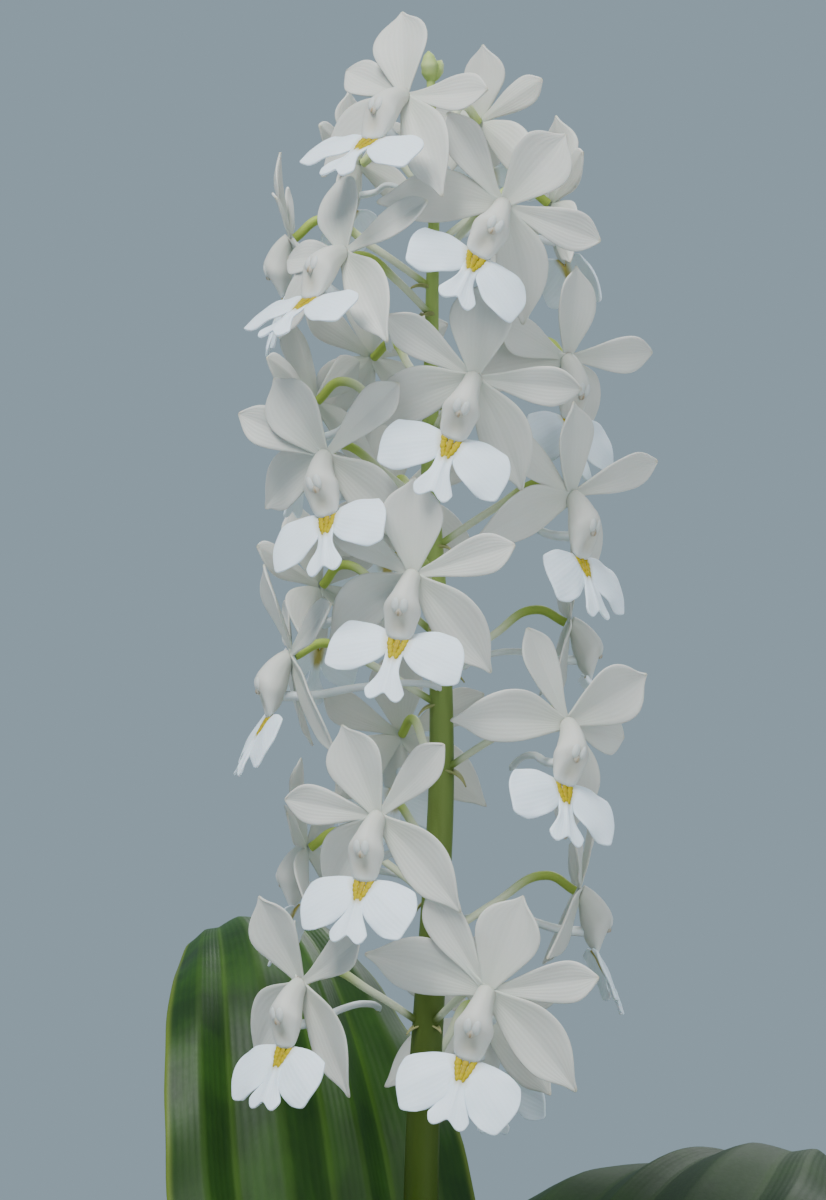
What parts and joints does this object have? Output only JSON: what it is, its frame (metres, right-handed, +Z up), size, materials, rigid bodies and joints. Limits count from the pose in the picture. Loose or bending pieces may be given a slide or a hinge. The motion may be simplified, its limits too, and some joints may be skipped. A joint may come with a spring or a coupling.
{
  "type": "potted calanthe orchid",
  "caption": "Orchid in a round clay pot: pleated arching leaves round a crown, and one tall flower stalk with a dense spike of white blooms with forked lips and thin spurs.",
  "frame": {"origin": "centre of the flat underside of the pot", "axes": "+Z up along the flower stalk, -Y towards the side from which the picture was taken, +X to the right seen from there"},
  "size_m": [0.5215, 0.4197, 0.5503],
  "materials": {
    "clay": "matte, unglazed, slightly mottled",
    "bark": "rough damp bark chips",
    "crown_green": "satin pale green with papery sheaths",
    "stalk_green": "satin olive green",
    "leaf_green": "satin, pleated, with lighter ribs",
    "bloom_white": "soft matte white petals with a yellow callus on the lip"
  },
  "bodies": {
    "root": {"pot": "clay", "soil": "bark", "crown": "crown_green", "stalk": "stalk_green", "leaf_1": "leaf_green", "leaf_2": "leaf_green", "leaf_3": "leaf_green", "leaf_4": "leaf_green", "leaf_5": "leaf_green", "leaf_6": "leaf_green", "bloom_01": "bloom_white", "bloom_02": "bloom_white", "bloom_03": "bloom_white", "bloom_04": "bloom_white", "bloom_05": "bloom_white", "bloom_06": "bloom_white", "bloom_07": "bloom_white", "bloom_08": "bloom_white", "bloom_09": "bloom_white", "bloom_10": "bloom_white", "bloom_11": "bloom_white", "bloom_12": "bloom_white", "bloom_13": "bloom_white", "bloom_14": "bloom_white", "bloom_15": "bloom_white", "bloom_16": "bloom_white", "bloom_17": "bloom_white", "bloom_18": "bloom_white", "bloom_19": "bloom_white", "bloom_20": "bloom_white", "bloom_21": "bloom_white", "bloom_22": "bloom_white", "bloom_23": "bloom_white", "bloom_24": "bloom_white", "bloom_25": "bloom_white", "bloom_26": "bloom_white"}
  },
  "joints": []
}
